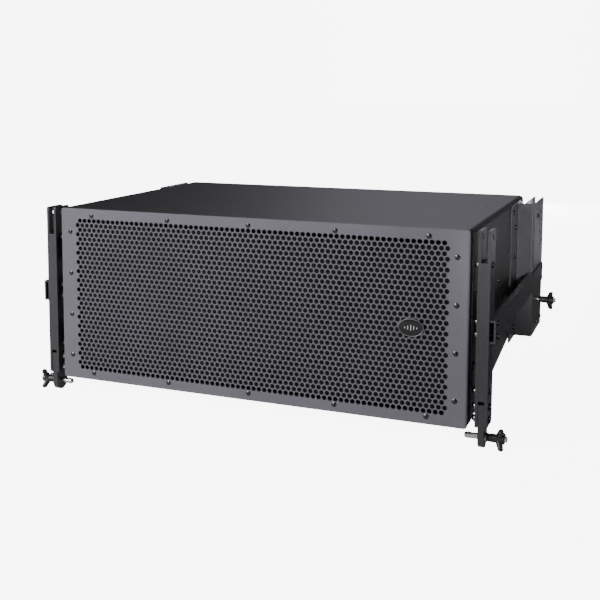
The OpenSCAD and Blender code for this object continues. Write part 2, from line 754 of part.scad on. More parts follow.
// Bolt through a front bar: head outside, domed nut in the gap beside the cabinet.
module bar_bolt(outer, z, r, head_r, head_h) {
    rod_x(bar_in - 1, outer + head_h * 0.3, r, hole_y, z);
    translate([bar_in, hole_y, z]) rotate([0, -90, 0]) cap_nut(head_r + 0.4, bar_gap - 1.2);
    translate([outer, hole_y, z]) rotate([0, 90, 0]) button_head(head_r, head_h);
}

// Bolt between x0 and x1 with a domed head at each end.
module through_bolt(x0, x1, y, z, r, head_r, head_h, inner_h = 3.3) {
    rod_x(x0 - inner_h * 0.3, x1 + head_h * 0.3, r, y, z);
    translate([x0, y, z]) rotate([0, -90, 0]) button_head(head_r, inner_h);
    translate([x1, y, z]) rotate([0, 90, 0]) button_head(head_r, head_h);
}

// ---------- quick-release pins ----------

// Places a pin drawn with its collar face at the origin and its handle along +X.
module pin_place(side, rear) from_front() on_side(side)
    translate(rear ? [bracket_out, link_y, rear_pin_z] : [core_out, hole_y, tongue_z])
        children();

// Steel shank with collar, neck, cross hole for the balls and a bore for the spindle.
module pin_shank(side, rear) pin_place(side, rear) color(zinc) difference() {
    union() {
        rod_x(-pin_len + 2, 0.5, pin_r, 0, 0);
        translate([-pin_len + 2, 0, 0]) rotate([0, -90, 0]) cylinder(h = 2, r1 = pin_r, r2 = pin_r - 1.5);
        rod_x(0, collar_t, collar_r, 0, 0);
        rod_x(collar_t - 0.5, collar_t + neck_len, neck_r, 0, 0);
    }
    rod_x(spindle_tip - button_travel - 0.4, collar_t + neck_len + 1, spindle_r + 0.07, 0, 0);
    translate([ball_x, 0, -pin_r - 1]) cylinder(h = 2 * pin_r + 2, r = ball_r + 0.05);
}

spindle_tip = ball_x - 0.8;

// Barrel with three lobes, hollow for the shank's neck and the button.
module pin_handle(side, rear) pin_place(side, rear) color(steel_black) difference() {
    union() {
        rod_x(collar_t, barrel_len, barrel_r, 0, 0);
        translate([barrel_len - lobe_t, 0, 0]) rotate([0, 90, 0]) linear_extrude(lobe_t) lobes();
    }
    rod_x(collar_t - 1, collar_t + neck_len, neck_r + 0.03, 0, 0);
    rod_x(collar_t + neck_len - 1, barrel_len + 1, button_r + 0.08, 0, 0);
}

// Three lobes, one pointing to the rear, and the boss they stand on.
module lobes() {
    circle(r = 9);
    for (a = [90 : 120 : 330]) rotate(a) {
        translate([0, -4.5]) square([lobe_r - 4.5, 9]);
        translate([lobe_r - 4.5, 0]) circle(r = 4.5);
    }
}

// Push button on a spindle. Under the balls the spindle tapers to a neck, which comes
// below them when the button is pressed and lets them sink into the shank.
module pin_button(side, rear) pin_place(side, rear) color([0.85, 0.85, 0.87])
    rotate([0, 90, 0]) rotate_extrude() polygon([
        [0, spindle_tip],
        [spindle_r - 0.4, spindle_tip],
        [spindle_r, spindle_tip + 0.4],
        [spindle_r, ball_x],
        [spindle_r - ball_lift, ball_x + button_travel],
        [spindle_r - ball_lift, ball_x + button_travel + 0.6],
        [spindle_r, ball_x + button_travel + 2.2],
        [spindle_r, button_base],
        [button_r, button_base],
        [button_r, barrel_len + button_out - 1],
        [button_r - 1, barrel_len + button_out],
        [0, barrel_len + button_out]
    ]);

button_base = collar_t + neck_len + button_travel + 1;

// One locking ball, above (up = 1) or below (up = -1) the pin's axis.
module lock_ball(side, rear, up) pin_place(side, rear) color(zinc)
    translate([ball_x, 0, up * ball_z]) sphere(r = ball_r);

top_panel();
bottom_panel();
side_panel(-1);  // side_panel_left
side_panel(1);  // side_panel_right
rear_panel();
baffle();
chamber_walls();
grille();
grille_foam();
grille_screws();
badge();
panel_screws();
woofer_frames();
woofer_magnets();
woofer_cone(-1);  // woofer_cone_left
woofer_cone(1);  // woofer_cone_right
woofer_surrounds();
woofer_spiders();
woofer_bolts();
waveguide();
compression_drivers();
crossover_board();
crossover_parts();
connector_plate();
speaker_sockets();
rear_handles();
handle_screws();
bar_plates(-1);  // bar_plates_left
bar_plates(1);  // bar_plates_right
bar_cores();
tongues();
side_arm(-1);  // side_arm_left
side_arm(1);  // side_arm_right
rear_bracket(-1);  // rear_bracket_left
rear_bracket(1);  // rear_bracket_right
rear_inner_plates();
rear_link(-1);  // rear_link_left
rear_link(1);  // rear_link_right
rigging_spacers();
rigging_bolts();
pin_shank(-1, false);  // pin_shank_front_left
pin_shank(1, false);  // pin_shank_front_right
pin_shank(-1, true);  // pin_shank_rear_left
pin_shank(1, true);  // pin_shank_rear_right
pin_handle(-1, false);  // pin_handle_front_left
pin_handle(1, false);  // pin_handle_front_right
pin_handle(-1, true);  // pin_handle_rear_left
pin_handle(1, true);  // pin_handle_rear_right
pin_button(-1, false);  // pin_button_front_left
pin_button(1, false);  // pin_button_front_right
pin_button(-1, true);  // pin_button_rear_left
pin_button(1, true);  // pin_button_rear_right
lock_ball(-1, false, 1);  // ball_upper_front_left
lock_ball(1, false, 1);  // ball_upper_front_right
lock_ball(-1, true, 1);  // ball_upper_rear_left
lock_ball(1, true, 1);  // ball_upper_rear_right
lock_ball(-1, false, -1);  // ball_lower_front_left
lock_ball(1, false, -1);  // ball_lower_front_right
lock_ball(-1, true, -1);  // ball_lower_rear_left
lock_ball(1, true, -1);  // ball_lower_rear_right
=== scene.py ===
"""Line array speaker: the looks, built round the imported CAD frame. Metres, +Z up."""
import json
import math

import bmesh
import bpy
from mathutils import Matrix, Vector
from mathutils.geometry import delaunay_2d_cdt

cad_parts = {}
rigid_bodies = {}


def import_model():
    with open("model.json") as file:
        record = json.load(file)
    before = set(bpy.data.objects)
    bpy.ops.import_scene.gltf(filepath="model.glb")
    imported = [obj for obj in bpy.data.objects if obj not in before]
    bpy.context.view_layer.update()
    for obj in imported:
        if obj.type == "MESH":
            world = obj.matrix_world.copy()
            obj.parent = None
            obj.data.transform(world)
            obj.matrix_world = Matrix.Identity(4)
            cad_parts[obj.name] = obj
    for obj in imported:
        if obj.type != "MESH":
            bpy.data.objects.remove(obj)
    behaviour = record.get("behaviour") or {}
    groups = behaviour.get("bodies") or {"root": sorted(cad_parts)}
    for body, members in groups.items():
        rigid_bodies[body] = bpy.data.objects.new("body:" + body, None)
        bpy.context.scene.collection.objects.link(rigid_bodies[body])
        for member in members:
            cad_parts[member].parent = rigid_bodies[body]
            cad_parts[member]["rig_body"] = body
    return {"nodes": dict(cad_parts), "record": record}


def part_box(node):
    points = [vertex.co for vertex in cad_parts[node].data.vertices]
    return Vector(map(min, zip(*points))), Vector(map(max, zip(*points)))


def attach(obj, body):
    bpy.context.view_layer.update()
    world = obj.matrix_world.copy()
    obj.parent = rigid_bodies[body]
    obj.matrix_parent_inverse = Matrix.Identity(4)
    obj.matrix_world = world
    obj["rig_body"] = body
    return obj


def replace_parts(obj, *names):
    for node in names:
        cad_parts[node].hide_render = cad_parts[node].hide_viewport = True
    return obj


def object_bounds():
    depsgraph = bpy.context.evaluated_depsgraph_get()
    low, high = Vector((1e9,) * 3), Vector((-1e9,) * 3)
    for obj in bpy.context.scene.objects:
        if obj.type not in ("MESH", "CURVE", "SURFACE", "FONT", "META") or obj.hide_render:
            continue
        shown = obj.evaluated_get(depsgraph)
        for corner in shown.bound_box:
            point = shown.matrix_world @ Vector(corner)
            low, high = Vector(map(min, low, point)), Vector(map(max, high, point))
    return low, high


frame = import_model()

cad_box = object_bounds()
MM = 0.001
ROOT = "cabinet"
SIDES = {"left": -1, "right": 1}


# ---------- materials ----------

def linear(grey, tint=(1, 1, 1)):
    """A grey level from 0 to 1 with a tint, as an RGBA colour."""
    return (*[grey * t for t in tint], 1)


class Shader:
    """A Principled material whose colour, roughness and relief come from small node chains."""

    def __init__(self, name, metallic=0.0, coat=0.0, specular=0.5):
        self.mat = bpy.data.materials.new(name)
        self.mat.use_nodes = True
        self.tree = self.mat.node_tree
        self.bsdf = self.tree.nodes["Principled BSDF"]
        self.bsdf.inputs["Metallic"].default_value = metallic
        self.bsdf.inputs["Coat Weight"].default_value = coat
        self.bsdf.inputs["Specular IOR Level"].default_value = specular
        self.place = self.node("ShaderNodeTexCoord").outputs["Object"]

    def node(self, kind, **values):
        """A new node with the given values on its inputs."""
        made = self.tree.nodes.new(kind)
        for key, value in values.items():
            made.inputs[key].default_value = value
        return made

    def link(self, source, target):
        self.tree.links.new(source, target)

    def noise(self, size, detail=4.0, stretch=(1, 1, 1)):
        """Noise whose features are about size metres across."""
        scaled = self.node("ShaderNodeMapping", Scale=stretch)
        self.link(self.place, scaled.inputs["Vector"])
        made = self.node("ShaderNodeTexNoise", Scale=1 / size, Detail=detail)
        self.link(scaled.outputs["Vector"], made.inputs["Vector"])
        return made.outputs["Fac"]

    def ramp(self, source, *stops):
        """Maps a value to colours; each stop is (position, colour)."""
        made = self.node("ShaderNodeValToRGB")
        for extra in range(len(stops) - 2):
            made.color_ramp.elements.new(0.5)
        for element, (position, colour) in zip(made.color_ramp.elements, stops):
            element.position = position
            element.color = colour
        self.link(source, made.inputs["Fac"])
        return made.outputs["Color"]

    def spread(self, source, low, high):
        """Maps a value from 0.3..0.7 to low..high."""
        made = self.node("ShaderNodeMapRange")
        made.inputs["From Min"].default_value = 0.3
        made.inputs["From Max"].default_value = 0.7
        made.inputs["To Min"].default_value = low
        made.inputs["To Max"].default_value = high
        self.link(source, made.inputs["Value"])
        return made.outputs["Result"]

    def bump(self, source, strength, height):
        made = self.node("ShaderNodeBump", Strength=strength, Distance=height)
        self.link(source, made.inputs["Height"])
        return made.outputs["Normal"]

    def finish(self, colour, roughness=None, normal=None):
        """Links the outputs of the chains to the shader and gives the material."""
        for socket, source in (("Base Color", colour), ("Roughness", roughness), ("Normal", normal)):
            if source is not None:
                self.link(source, self.bsdf.inputs[socket])
        return self.mat


def coated(name, grey, tint, rough, grain, relief, mottle=0.12, coat=0.0):
    """Paint or powder coat: fine grain in the relief, slow mottling in colour and gloss."""
    s = Shader(name, coat=coat)
    slow = s.noise(0.12, 2.0)
    fine = s.noise(grain, 2.0)
    dust = s.noise(grain * 2.5, 3.0)
    low, high = linear(grey * (1 - mottle), tint), linear(grey * (1 + mottle), tint)
    colour = s.ramp(slow, (0.3, low), (0.7, high))
    roughness = s.spread(dust, rough - 0.04, rough + 0.06)
    return s.finish(colour, roughness, s.bump(fine, 0.5, relief))


def metal(name, grey, tint, rough, streak=(1, 1, 1)):
    """Bare or plated metal with fine streaks and slightly uneven gloss."""
    s = Shader(name, metallic=1.0)
    lines = s.noise(0.0008, 3.0, streak)
    cloud = s.noise(0.004, 4.0)
    low, high = linear(grey * 0.92, tint), linear(grey * 1.04, tint)
    colour = s.ramp(cloud, (0.3, low), (0.7, high))
    roughness = s.spread(lines, rough - 0.06, rough + 0.1)
    return s.finish(colour, roughness, s.bump(lines, 0.15, 0.00004))


def plastic(name, grey, tint, rough):
    """Moulded plastic with a fine spark-eroded grain."""
    s = Shader(name)
    grain = s.noise(0.0007, 3.0)
    cloud = s.noise(0.02)
    colour = s.ramp(cloud, (0.3, linear(grey * 0.88, tint)), (0.7, linear(grey * 1.12, tint)))
    return s.finish(colour, s.spread(grain, rough - 0.05, rough + 0.08), s.bump(grain, 0.25, 0.00004))


def timber(name):
    """Bare plywood: long grain along the depth with darker lines."""
    s = Shader(name)
    grain = s.noise(0.004, 8.0, (1, 0.08, 1))
    dark, mid, pale = (0.33, 0.2, 0.1, 1), (0.5, 0.34, 0.19, 1), (0.6, 0.44, 0.27, 1)
    colour = s.ramp(grain, (0.3, dark), (0.5, mid), (0.75, pale))
    return s.finish(colour, s.spread(grain, 0.5, 0.7), s.bump(grain, 0.3, 0.0002))


def cloth(name, grey, tint, size, rough=0.95):
    """Open foam or stiffened cloth with a pitted surface, darker in the pits and lighter on the ridges as
    painted shade.
    """
    s = Shader(name, specular=0.2)
    cells = s.node("ShaderNodeTexVoronoi", Scale=1 / size)
    s.link(s.place, cells.inputs["Vector"])
    # Painted shade: the cell distance that sinks the pits also darkens them and lightens the ridges
    # between them.
    low, high = linear(grey * 0.5, tint), linear(grey * 1.3, tint)
    colour = s.ramp(cells.outputs["Distance"], (0.1, low), (0.8, high))
    s.bsdf.inputs["Roughness"].default_value = rough
    return s.finish(colour, None, s.bump(cells.outputs["Distance"], 0.6, size * 0.5))


COOL = (0.95, 0.96, 1.08)
VIOLET = (1.0, 0.95, 1.1)
MATERIALS = {
    "painted_wood": coated("cabinet_paint", 0.024, VIOLET, 0.42, 0.0009, 0.00007, 0.08),
    "grille_steel": coated("grille_powder_coat", 0.15, VIOLET, 0.42, 0.0007, 0.00005, 0.06),
    "rigging_steel": coated("rigging_powder_coat", 0.034, COOL, 0.34, 0.0009, 0.00006, coat=0.1),
    "plate_black": coated("plate_powder_coat", 0.02, COOL, 0.4, 0.0009, 0.00007),
    "cast_frame": coated("cast_frame_coat", 0.04, COOL, 0.5, 0.0015, 0.00015),
    "raw_wood": timber("plywood"),
    "foam": cloth("acoustic_foam", 0.03, (1, 1, 1), 0.0016),
    "spider_cloth": cloth("stiffened_cloth", 0.35, (1, 0.72, 0.35), 0.0008),
    "paper": cloth("cone_paper", 0.03, (1, 1, 1), 0.0012, 0.8),
    "zinc_screw": metal("bright_zinc", 0.72, (1, 0.985, 0.94), 0.24),
    "black_screw": metal("black_oxide", 0.07, (1, 1, 1.05), 0.22),
    "ferrite": plastic("ferrite", 0.05, (1, 1, 1.05), 0.6),
    "badge_plastic": plastic("badge_gloss", 0.004, (1, 1, 1), 0.16),
    "rubber": plastic("soft_rubber", 0.018, (1, 1, 1), 0.55),
    "horn_plastic": plastic("horn_plastic", 0.02, (1, 1, 1), 0.45),
    "driver_metal": metal("driver_casting", 0.25, (1, 1, 1.03), 0.45),
    "board": plastic("circuit_board", 0.08, (0.35, 1, 0.45), 0.4),
    "coil": metal("enamelled_wire", 0.6, (1, 0.5, 0.2), 0.35),
    "socket_plastic": plastic("socket_plastic", 0.018, (0.9, 0.95, 1.2), 0.35),
    "pin_steel": metal("pin_steel", 0.66, (1, 0.97, 0.93), 0.2, (0.1, 1, 1)),
    "pin_plastic": plastic("pin_handle_plastic", 0.016, (1, 1, 1.05), 0.34),
    "pin_chrome": metal("bright_chrome", 0.85, (1, 1, 1), 0.09),
}


# ---------- mesh helpers ----------

def paint(obj, slot_name, smooth):
    """Gives an object one material, and shades it smooth except at edges over smooth degrees."""
    obj.data.materials.clear()
    obj.data.materials.append(MATERIALS[slot_name])
    obj.data.set_sharp_from_angle(angle=math.radians(smooth))
    for face in obj.data.polygons:
        face.use_smooth = True


def dress(obj, slot_name, body=ROOT, smooth=35):
    """Gives a new piece its material, its body and shading that keeps real edges sharp."""
    paint(obj, slot_name, smooth)
    even = obj.modifiers.new("even_shading", "WEIGHTED_NORMAL")
    even.keep_sharp = True
    even.weight = 100
    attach(obj, body)
    return obj


def new_object(name, bm):
    """An object from a bmesh, with its faces turned outwards."""
    bmesh.ops.recalc_face_normals(bm, faces=bm.faces)
    mesh = bpy.data.meshes.new(name)
    bm.to_mesh(mesh)
    bm.free()
    obj = bpy.data.objects.new(name, mesh)
    bpy.context.scene.collection.objects.link(obj)
    return obj


def soften(bm, width, angle=40):
    """Merges flat triangles into faces, then rounds every edge sharper than angle."""
    bmesh.ops.remove_doubles(bm, verts=bm.verts, dist=1e-6)
    bmesh.ops.dissolve_limit(bm, angle_limit=math.radians(1.0), verts=bm.verts, edges=bm.edges)
    sharp = [e for e in bm.edges if len(e.link_faces) == 2 and e.calc_face_angle(0) > math.radians(angle)]
    bmesh.ops.bevel(
        bm, geom=sharp, offset=width, offset_type="OFFSET", segments=2,
        profile=0.5, affect="EDGES", clamp_overlap=True,
    )


def softened_copy(node, slot_name, width):
    """A copy of a CAD node with small rounds on its edges, shown in the node's place."""
    source = frame["nodes"][node]
    bm = bmesh.new()
    bm.from_mesh(source.data)
    soften(bm, width)
    obj = new_object(node + "_finished", bm)
    dress(obj, slot_name, source["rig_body"])
    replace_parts(obj, node)


def split_bolts(slots):
    """The front bars' bolts: bright heads beside the cabinet, black heads outside."""
    node = "rigging_bolts"
    source = frame["nodes"][node]
    low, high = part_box("bar_cores")
    centre_x = (high.x + low.x) / 2
    bar_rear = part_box("bar_plates_right")[1].y
    bar_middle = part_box("bar_plates_right")[0].x + 8 * MM
    for name, slot_name, inner in (("inner", slots[node], True), ("outer", "black_screw", False)):
        bm = bmesh.new()
        bm.from_mesh(source.data)
        bmesh.ops.remove_doubles(bm, verts=bm.verts, dist=1e-6)
        for sign in SIDES.values():
            bmesh.ops.bisect_plane(
                bm, geom=bm.verts[:] + bm.edges[:] + bm.faces[:],
                plane_co=(centre_x + sign * bar_middle, 0, 0), plane_no=(1, 0, 0),
            )
        other = []
        for face in bm.faces:
            at = face.calc_center_median()
            beside = abs(at.x - centre_x) < bar_middle and at.y < bar_rear
            if beside != inner:
                other.append(face)
        bmesh.ops.delete(bm, geom=other, context="FACES")
        obj = dress(new_object(f"{node}_{name}", bm), slot_name)
        if inner:
            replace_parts(obj, node)


def finish_cad_nodes():
    """Every CAD node takes the material of its slot in the record."""
    slots = {s["node"]: s["material_slot"] for s in frame["record"]["subparts"]}
    for name, obj in frame["nodes"].items():
        paint(obj, slots[name], 30)
    return slots


# ---------- grille ----------

PITCH = 10 * MM         # between the holes of a row
ROW_STEP = PITCH * math.sqrt(3) / 2
HOLE_R = 4.2 * MM
ROWS = 33
ROW_HOLES = (69, 70)    # in the even and the odd rows, counted from 0
HOLE_SIDES = 12
BEND_R = 4.5 * MM       # outside of the bend at each end
CORNER_R = 7 * MM       # corners of the sheet, seen from the front
SHEET = 2 * MM
SHEET_EDGE = 0.6 * MM   # bevel along the top and bottom edges


def circle_points(centre, radius, count, start=0.0, sweep=2 * math.pi):
    """Points on an arc of a circle, anticlockwise from the angle start."""
    step = sweep / count
    return [
        (centre[0] + radius * math.cos(start + step * k), centre[1] + radius * math.sin(start + step * k))
        for k in range(count)
    ]


def sheet_height(x, half_w, half_h):
    """Half the height of the folded sheet at x: its corners are round, seen from the front."""
    past = abs(x) - (half_w + BEND_R - CORNER_R)
    if past <= 0:
        return half_h
    return half_h - CORNER_R + math.sqrt(max(0.0, CORNER_R ** 2 - past ** 2))


def sheet_outline(half_w, half_h, steps=4):
    """Outline of the flat part of the sheet, anticlockwise."""
    start = half_w + BEND_R - CORNER_R
    xs = [start + (half_w - start) * k / steps for k in range(steps + 1)]
    right = [(x, sheet_height(x, half_w, half_h)) for x in xs]
    top = right[::-1] + [(-x, z) for x, z in right]
    return top + [(x, -z) for x, z in top[::-1]]


def hole_centres():
    """Centres of the holes, in rows that alternate in length, round the middle of the sheet."""
    centres = []
    for row in range(ROWS):
        count = ROW_HOLES[row % 2]
        z = ((ROWS - 1) / 2 - row) * ROW_STEP
        centres += [((k - (count - 1) / 2) * PITCH, z) for k in range(count)]
    return centres


def flat_sheet(outline, holes):
    """Triangles of an outline with round holes: (points, triangles)."""
    points, edges = [], []
    rounds = [circle_points(c, HOLE_R, HOLE_SIDES, math.pi / HOLE_SIDES) for c in holes]
    for loop in [outline] + rounds:
        first = len(points)
        points += loop
        edges += [(first + k, first + (k + 1) % len(loop)) for k in range(len(loop))]
    out = delaunay_2d_cdt([Vector(p) for p in points], edges, [], 0, 1e-7)
    first_hole = len(outline)
    triangles = []
    for face in out[2]:
        sources = [out[3][v][0] - first_hole for v in face]
        owners = {source // HOLE_SIDES if source >= 0 else -1 for source in sources}
        inside_hole = len(owners) == 1 and -1 not in owners
        if not inside_hole:
            triangles.append(face)
    return out[0], triangles


def grille():
    """Perforated sheet with real holes and both ends folded back; the sideways faces of the folds carry
    the cabinet's dark paint as painted shade.
    """
    low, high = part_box("grille")
    mid_z = (low.z + high.z) / 2
    half_w = high.x - BEND_R
    half_h = (high.z - low.z) / 2
    front, back = low.y, low.y + SHEET
    points, triangles = flat_sheet(sheet_outline(half_w, half_h), hole_centres())
    bm = bmesh.new()
    layers = [[bm.verts.new((p.x, y, mid_z + p.y)) for p in points] for y in (front, back)]
    for tri in triangles:
        bm.faces.new([layers[0][v] for v in tri])
        bm.faces.new([layers[1][v] for v in reversed(tri)])
    index = {v: k for k, v in enumerate(layers[0])}
    rim = [e for e in bm.edges if len(e.link_faces) == 1 and e.verts[0] in index]
    shoulder = {}
    for v, k in index.items():
        if abs(v.co.z - mid_z) > half_h - CORNER_R:
            shoulder[k] = bm.verts.new((v.co.x, front + SHEET_EDGE, v.co.z))
            v.co.z -= math.copysign(SHEET_EDGE, v.co.z - mid_z)
    for e in rim:
        a, b = index[e.verts[0]], index[e.verts[1]]
        loop = [layers[0][a], layers[0][b], layers[1][b], layers[1][a]]
        if a in shoulder and b in shoulder:
            bm.faces.new((layers[0][a], layers[0][b], shoulder[b], shoulder[a]))
            loop[:2] = shoulder[a], shoulder[b]
        bm.faces.new(loop)
    for sign in SIDES.values():
        add_folded_end(bm, sign, half_w, half_h, mid_z, front, high.y)
    # Painted shade: the sideways faces of the folds are split off and given the cabinet's dark paint,
    # though the sheet is one coat all over.
    returns = split_off(bm, lambda face: is_return(face, half_w))
    dress(new_object("grille_returns_painted_shade", returns), "painted_wood")
    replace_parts(dress(new_object("grille_sheet", bm), "grille_steel"), "grille")


def is_return(face, half_w):
    """True for the faces of the folded ends that face sideways, which take the painted shade."""
    return abs(face.normal.x) > 0.85 and abs(face.calc_center_median().x) > half_w


def split_off(bm, wanted):
    """Moves the faces that wanted picks out to a new bmesh."""
    bm.normal_update()
    part = bm.copy()
    for mesh, keep in ((bm, False), (part, True)):
        others = [face for face in mesh.faces if wanted(face) != keep]
        bmesh.ops.delete(mesh, geom=others, context="FACES")
    return part


def add_folded_end(bm, sign, half_w, half_h, mid_z, front, rear, steps=10):
    """Bend and return at one end of the sheet."""
    centre = (half_w, front + BEND_R)
    outer, inner = [], []
    for k in range(steps + 1):
        a = -math.pi / 2 + math.pi / 2 * k / steps
        for path, r in ((outer, BEND_R), (inner, BEND_R - SHEET)):
            path.append((centre[0] + r * math.cos(a), centre[1] + r * math.sin(a)))
    outer.append((half_w + BEND_R, rear))
    inner.append((half_w + BEND_R - SHEET, rear))
    loop = outer + inner[::-1]
    ends = [
        [bm.verts.new((sign * x, y, mid_z + s * sheet_height(x, half_w, half_h))) for x, y in loop]
        for s in (-1, 1)
    ]
    count = len(loop)
    for k in range(count):
        j = (k + 1) % count
        bm.faces.new((ends[0][k], ends[0][j], ends[1][j], ends[1][k]))
    for k in range(len(outer) - 1):
        for end in ends:
            bm.faces.new((end[k], end[k + 1], end[count - 2 - k], end[count - 1 - k]))


# ---------- badge ----------

def badge():
    """Gloss oval plate with a bright rim and a plain motif of upright bars."""
    low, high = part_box("badge")
    centre = (low + high) / 2
    half = ((high.x - low.x) / 2, (high.z - low.z) / 2)
    steps = 64
    bm = bmesh.new()
    rings = []
    for share, depth in ((1.0, 0.0), (0.985, 0.55), (0.93, 0.72), (0.6, 0.86), (0.25, 0.94)):
        y = high.y - (high.y - low.y) * depth
        rings.append([
            bm.verts.new((
                centre.x + half[0] * share * math.cos(a), y, centre.z + half[1] * share * math.sin(a)
            )) for a in (2 * math.pi * k / steps for k in range(steps))
        ])
    for a, b in zip(rings, rings[1:]):
        for k in range(steps):
            j = (k + 1) % steps
            bm.faces.new((a[k], a[j], b[j], b[k]))
    bm.faces.new(rings[-1])
    bm.faces.new(rings[0][::-1])
    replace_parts(dress(new_object("badge_plate", bm), "badge_plastic"), "badge")
    dress(swept_ring("badge_rim", centre, half, low.y), "driver_metal")
    for k, height in enumerate((3.5, 6.5, 9, 6.5, 3.5)):
        x = centre.x + (k - 2) * 5 * MM
        dress(rounded_bar(f"badge_bar_{k + 1}", x, centre.z, height * MM, low.y), "zinc_screw")


def swept_ring(name, centre, half, front, steps=96):
    """Half-round rim that follows the badge's outline."""
    bm = bmesh.new()
    radius = 0.8 * MM
    section = [(-radius * math.cos(t), radius * math.sin(t)) for t in (math.pi * k / 6 for k in range(7))]
    rings = []
    for k in range(steps):
        a = 2 * math.pi * k / steps
        ring = []
        for across, out in section:
            sx, sz = half[0] - radius + across, half[1] - radius + across
            ring.append(bm.verts.new((
                centre.x + sx * math.cos(a), front + radius * 1.05 - out, centre.z + sz * math.sin(a)
            )))
        rings.append(ring)
    for k in range(steps):
        a, b = rings[k], rings[(k + 1) % steps]
        for j in range(len(section) - 1):
            bm.faces.new((a[j], a[j + 1], b[j + 1], b[j]))
        bm.faces.new((a[-1], a[0], b[0], b[-1]))
    return new_object(name, bm)


def rounded_bar(name, x, z, height, front):
    """Small raised upright bar with round ends."""
    half_w, half_h, depth = 0.8 * MM, height / 2, 0.5 * MM
    outline = circle_points((x, z + half_h - half_w), half_w, 8, 0, math.pi)
    outline += [(x - half_w, z + half_h - half_w)]
    outline += circle_points((x, z - half_h + half_w), half_w, 8, math.pi, math.pi)
    outline += [(x + half_w, z - half_h + half_w)]
    bm = bmesh.new()
    face = bm.faces.new([bm.verts.new((p[0], front + 0.02 * MM, p[1])) for p in outline])
    grown = bmesh.ops.extrude_face_region(bm, geom=[face])
    verts = [v for v in grown["geom"] if isinstance(v, bmesh.types.BMVert)]
    bmesh.ops.translate(bm, verts=verts, vec=(0, depth, 0))
    return new_object(name, bm)


# ---------- cabinet ----------

def cabinet_shell():
    """The painted box: the panels joined into one skin, so that no seam shows."""
    names = ["side_panel_left", "side_panel_right", "top_panel", "bottom_panel", "rear_panel"]
    copies = []
    for name in names:
        source = frame["nodes"][name]
        obj = bpy.data.objects.new("shell_" + name, source.data.copy())
        bpy.context.scene.collection.objects.link(obj)
        bm = bmesh.new()
        bm.from_mesh(obj.data)
        bmesh.ops.remove_doubles(bm, verts=bm.verts, dist=1e-6)
        bm.to_mesh(obj.data)
        bm.free()
        copies.append(obj)
    shell = copies[0]
    for other in copies[1:]:
        cut = shell.modifiers.new("join", "BOOLEAN")
        cut.operation = "UNION"
        cut.solver = "EXACT"
        cut.object = other
    graph = bpy.context.evaluated_depsgraph_get()
    bm = bmesh.new()
    bm.from_mesh(shell.evaluated_get(graph).to_mesh())
    for obj in copies:
        bpy.data.objects.remove(obj)
    soften(bm, 0.8 * MM, 50)
    obj = new_object("cabinet_shell", bm)
    dress(obj, "painted_wood")
    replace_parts(obj, *names)


# ---------- quick-release pins ----------

def tube_profile(points, steps=40):
    """Solid of revolution about X: points are (x, radius) from one end to the other."""
    bm = bmesh.new()
    rings = []
    for x, r in points:
        if r < 1e-7:
            rings.append([bm.verts.new((x, 0, 0))])
            continue
        rings.append([
            bm.verts.new((x, r * math.cos(a), r * math.sin(a)))
            for a in (2 * math.pi * k / steps for k in range(steps))
        ])
    for a, b in zip(rings, rings[1:]):
        for k in range(steps):
            j = (k + 1) % steps
            loop = [a[k % len(a)], a[j % len(a)], b[j % len(b)], b[k % len(b)]]
            bm.faces.new(list(dict.fromkeys(loop)))
    return bm


def add_wing(bm, angle, barrel_r, reach, base_x, tip_x):
    """One finger wing: a broad root in the barrel that sweeps outwards to a blunt tip."""
    steps, sides = 14, 12
    root = barrel_r * 0.5
    rings = []
    for k in range(steps + 1):
        t = k / steps
        radial = root + (reach - root) * t
        x = base_x + (tip_x - base_x) * (t ** 0.8)
        round_off = math.sqrt(max(0.0, 1 - max(0.0, (t - 0.82) / 0.18) ** 2))
        wide = (6 - 2.2 * t + 1.6 * t * t) * MM * max(round_off, 0.05)
        thick = (6.2 - 2 * t) * MM * max(round_off, 0.05)
        ring = []
        for j in range(sides):
            a = 2 * math.pi * j / sides
            ring.append((x + thick * math.cos(a), radial, wide * math.sin(a)))
        rings.append([
            bm.verts.new((
                p[0],
                p[1] * math.cos(angle) - p[2] * math.sin(angle),
                p[1] * math.sin(angle) + p[2] * math.cos(angle),
            )) for p in ring
        ])
    for a, b in zip(rings, rings[1:]):
        for j in range(sides):
            i = (j + 1) % sides
            bm.faces.new((a[j], a[i], b[i], b[j]))
    bm.faces.new(rings[0][::-1])
    bm.faces.new(rings[-1])


def pin_handle(place, side):
    """Grooved barrel with three swept wings, in place of the plain CAD handle."""
    node = f"pin_handle_{place}_{side}"
    button = f"pin_button_{place}_{side}"
    low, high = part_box(node)
    sign = SIDES[side]
    start = low.x if sign > 0 else high.x
    length = high.x - low.x
    axis = (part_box(button)[0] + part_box(button)[1]) / 2
    reach = high.y - axis.y - 1.2 * MM
    r = 7 * MM
    bore = 4.12 * MM
    groove = r - 0.7 * MM
    bm = tube_profile([
        (0, 5.6 * MM), (0, r - 0.6 * MM), (0.6 * MM, r),
        (3 * MM, r), (3.4 * MM, groove), (4.6 * MM, groove), (5 * MM, r),
        (length * 0.62, r), (length * 0.7, r + 0.9 * MM), (length - 1.2 * MM, r + 1.4 * MM),
        (length - 0.3 * MM, r + 0.9 * MM), (length, r),
        (length, bore), (length - 8 * MM, bore), (length - 8 * MM, 0),
    ])
    for k in range(3):
        add_wing(bm, math.radians(120 * k), r, reach, length * 0.66, length - 4.6 * MM)
    spin = Matrix.Diagonal((sign, 1, 1, 1))
    bmesh.ops.transform(bm, matrix=Matrix.Translation((start, axis.y, axis.z)) @ spin, verts=bm.verts)
    obj = new_object(node + "_finished", bm)
    dress(obj, "pin_plastic", f"pin_{place}_{side}", 40)
    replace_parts(obj, node)


# ---------- stage ----------

PALE = 9.0        # brightness of the backdrop as the camera sees it
FLOOR_PALE = 7.2  # and of the floor


